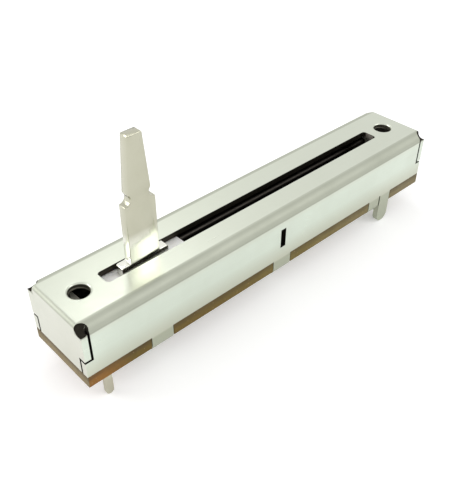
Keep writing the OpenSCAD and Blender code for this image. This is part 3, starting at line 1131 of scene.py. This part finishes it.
@dataclass
class Slider(SubAssembly):
    """The carrier with its wipers, and the stamped lever with sheared edges."""

    nodes: tuple[str, ...] = ("carrier", "wiper_front", "wiper_back")
    middle_x: float = -18.0
    thickness: float = 1.2
    root_half: float = 2.3
    root_z: float = -4.4
    seat_z: float = -1.0
    shoulder_half: float = 3.3
    shoulder_z: float = 0.35
    half_w: float = 2.0
    neck_half: float = 1.475
    tip_half: float = 0.95
    tip_cut: float = 0.12
    tip_z: float = 16.0
    notch_z: float = 8.6
    notch_r: float = 0.75
    notch_depth: float = 0.25
    roll_in: float = 0.08
    roll_back: float = 0.14
    burr_in: Spot = (0.0, 0.02, 0.04)
    burr_back: Spot = (0.05, 0.02, 0.0)
    corner_r: float = 0.15
    shoulder_r: float = 0.3
    notch_edge_r: float = 0.11
    notch_point_r: float = 0.01
    tip_r: float = 0.05
    notch_steps: int = 11

    def half_outline(self) -> np.ndarray:
        """Draws the lever's right half, from its root up to its tip.

        The notch's points lie at its middle plus r (cos a, sin a), between the two
        angles at which the circle meets the wide blade below and the neck above.

        Returns:
            Distance from the middle line, height and corner radius of each point.
        """
        middle = self.neck_half + self.notch_r - self.notch_depth
        low = -np.pi + np.arccos((middle - self.half_w) / self.notch_r)
        high = np.pi - np.arccos((middle - self.neck_half) / self.notch_r)
        angle = np.linspace(low, high - 2.0 * np.pi, self.notch_steps + 2)
        across = middle + self.notch_r * np.cos(angle)
        height = self.notch_z + self.notch_r * np.sin(angle)
        radii = [self.notch_edge_r, *[self.notch_point_r] * self.notch_steps, self.notch_edge_r]
        below = [
            [self.root_half, self.root_z, self.corner_r],
            [self.root_half, self.seat_z, self.corner_r],
            [self.shoulder_half, self.seat_z, self.corner_r],
            [self.shoulder_half, self.shoulder_z, self.shoulder_r],
            [self.half_w, self.shoulder_z, self.corner_r],
        ]
        above = [
            [self.neck_half, self.notch_z + self.notch_r, self.corner_r],
            [self.tip_half, self.tip_z - self.tip_cut, self.tip_r],
            [self.tip_half - self.tip_cut, self.tip_z, self.tip_r],
        ]
        return np.concatenate([below, np.stack([across, height, radii], axis=1), above])

    def lever_surface(self) -> tuple[np.ndarray, list[list[int]]]:
        """Carries the sheared edge's section round the lever's outline.

        At each step through the thickness the outline stands in by the section's
        inset. In front, where the edge is rolled over, it is i (1 - sin a) at the depth
        b (1 - cos a) for a from 0 to 90 degrees. Behind, it follows the burr's points.

        Returns:
            The points, and the faces that join them.
        """
        right = self.half_outline()
        left = right[::-1] * np.array([-1.0, 1.0, 1.0])
        corners = np.concatenate([right, left])
        outline = rounded_outline(corners[:, :2], corners[:, 2], 5)
        half = self.thickness / 2
        turn = np.linspace(0.0, np.pi / 2, 6)
        inset = np.concatenate([self.roll_in * (1.0 - np.sin(turn)), self.burr_in])
        rolled = self.roll_back * (1.0 - np.cos(turn)) - half
        depth = np.concatenate([rolled, half - np.array(self.burr_back)])
        rings = inset_outline(outline, inset)
        through = np.broadcast_to(depth[None, :], rings.shape[:2])
        points = np.stack([self.middle_x + rings[..., 0], through, rings[..., 1]], axis=-1)
        rows, columns = rings.shape[:2]
        faces = grid_quads(rows, columns, True, False)[:, ::-1].tolist()
        front = (np.arange(rows) * columns).tolist()
        back = (np.arange(rows) * columns + columns - 1)[::-1].tolist()
        return points.reshape(-1, 3), faces + [front, back]

    def build(self) -> None:
        """Builds the lever with sheared edges in place of the plain one."""
        points, faces = self.lever_surface()
        piece = add_piece("stamped_lever", points, faces, Body.SLIDER, "lever_steel")
        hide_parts("lever")
        LOG.info("stamped_lever: lever with sheared edges in place of lever")


# Studio


@dataclass(frozen=True)
class Lamp:
    """A square soft lamp that faces the object.

    Turn is in degrees from the back, clockwise from above, and height in degrees
    above the floor. Distance and size are in millimetres, and power in watts.
    """

    name: str
    turn: float
    height: float
    distance: float
    size: float
    power: float

    def hang(self) -> None:
        """Hangs the lamp at its place."""
        data = bpy.data.lights.new(self.name, "AREA")
        data.size = self.size * MM
        data.energy = self.power
        piece = bpy.data.objects.new(self.name, data)
        bpy.context.scene.collection.objects.link(piece)
        around = math.radians(self.turn)
        up = math.radians(self.height)
        reach = self.distance * MM
        piece.location = (
            reach * math.sin(around) * math.cos(up),
            reach * math.cos(around) * math.cos(up),
            reach * math.sin(up),
        )
        piece.rotation_euler = (math.pi / 2 - up, 0.0, math.pi - around)


@dataclass
class Studio:
    """Pale floor, soft lamps, pale surroundings and the camera."""

    floor_z: float = -11.8
    floor_half: float = 1500.0
    floor_shade: float = 0.84
    floor_lift: float = 0.35
    fill: float = 0.78
    camera_place: Spot = (-51.86, -50.5, 48.99)
    camera_turn: float = 42.76
    camera_dip: float = 38.67
    focal_px: float = 680.3
    frame_px: tuple[int, int] = (451, 500)
    sensor: float = 36.0
    clip: Pair = (0.005, 20.0)
    lamps: tuple[Lamp, ...] = (
        Lamp("lamp_back", 30.0, 52.0, 420.0, 60.0, 0.09),
        Lamp("lamp_front", 144.0, 40.0, 460.0, 200.0, 0.34),
        Lamp("lamp_left", 315.0, 25.0, 450.0, 260.0, 0.7),
    )

    def floor(self) -> None:
        """Builds the floor: pale, lighter to the camera and in gloss, and it takes the shadow."""
        half = self.floor_half * MM
        z = self.floor_z * MM
        mesh = bpy.data.meshes.new("floor")
        mesh.from_pydata(
            [(-half, -half, z), (half, -half, z), (half, half, z), (-half, half, z)], [], [(0, 1, 2, 3)]
        )
        piece = bpy.data.objects.new("floor", mesh)
        bpy.context.scene.collection.objects.link(piece)
        made = bpy.data.materials.new("studio_floor")
        made.use_nodes = True
        made.node_tree.nodes.clear()
        graph = Graph(made.node_tree)
        paper = graph.node("ShaderNodeBsdfDiffuse", {"Color": (self.floor_shade,) * 3})
        lift = graph.product(self.seen(graph), self.floor_lift)
        glow = graph.node("ShaderNodeEmission", {"Color": (1.0, 1.0, 1.0), "Strength": lift})
        both = graph.node("ShaderNodeAddShader", {0: paper.outputs[0], 1: glow.outputs[0]})
        graph.node("ShaderNodeOutputMaterial", {"Surface": both.outputs[0]})
        mesh.materials.append(made)

    @staticmethod
    def seen(graph: Graph) -> Value:
        """Gives 1 for rays that come from the camera, from gloss or through glass."""
        rays = graph.node("ShaderNodeLightPath").outputs
        return graph.largest(rays["Is Camera Ray"], rays["Is Glossy Ray"], rays["Is Transmission Ray"])

    def surroundings(self) -> None:
        """Lights everything evenly, and shows as white to the camera and in gloss."""
        world = bpy.data.worlds.new("studio")
        bpy.context.scene.world = world
        world.use_nodes = True
        world.node_tree.nodes.clear()
        graph = Graph(world.node_tree)
        strength = graph.spread(self.seen(graph), 0.0, 1.0, self.fill, 1.0)
        back = graph.node("ShaderNodeBackground", {"Color": (1.0, 1.0, 1.0), "Strength": strength})
        graph.node("ShaderNodeOutputWorld", {"Surface": back.outputs[0]})

    def camera(self) -> None:
        """Puts the camera at the fitted place, turned to centre the object."""
        data = bpy.data.cameras.new("camera")
        data.sensor_width = self.sensor
        data.lens = self.focal_px * self.sensor / max(self.frame_px)
        data.clip_start, data.clip_end = self.clip
        piece = bpy.data.objects.new("camera", data)
        bpy.context.scene.collection.objects.link(piece)
        piece.location = [value * MM for value in self.camera_place]
        piece.rotation_euler = (math.radians(90.0 - self.camera_dip), 0.0, math.radians(-self.camera_turn))
        bpy.context.scene.camera = piece

    def build(self) -> None:
        """Builds the whole studio."""
        self.floor()
        self.surroundings()
        for lamp in self.lamps:
            lamp.hang()
        self.camera()
        bpy.context.scene.view_settings.view_transform = "Standard"
        LOG.info("studio: floor, surroundings, %d lamps and the camera", len(self.lamps))


def main() -> None:
    """Builds the studio, then each sub-assembly with its finishes."""
    logging.basicConfig(level=logging.INFO, format="%(name)s: %(message)s")
    Studio().build()
    for part in (Cover(), ResistorBoard(), Terminals(), Guides(), Slider()):
        part.build()
        part.dress()


if __name__ == "__main__":
    main()
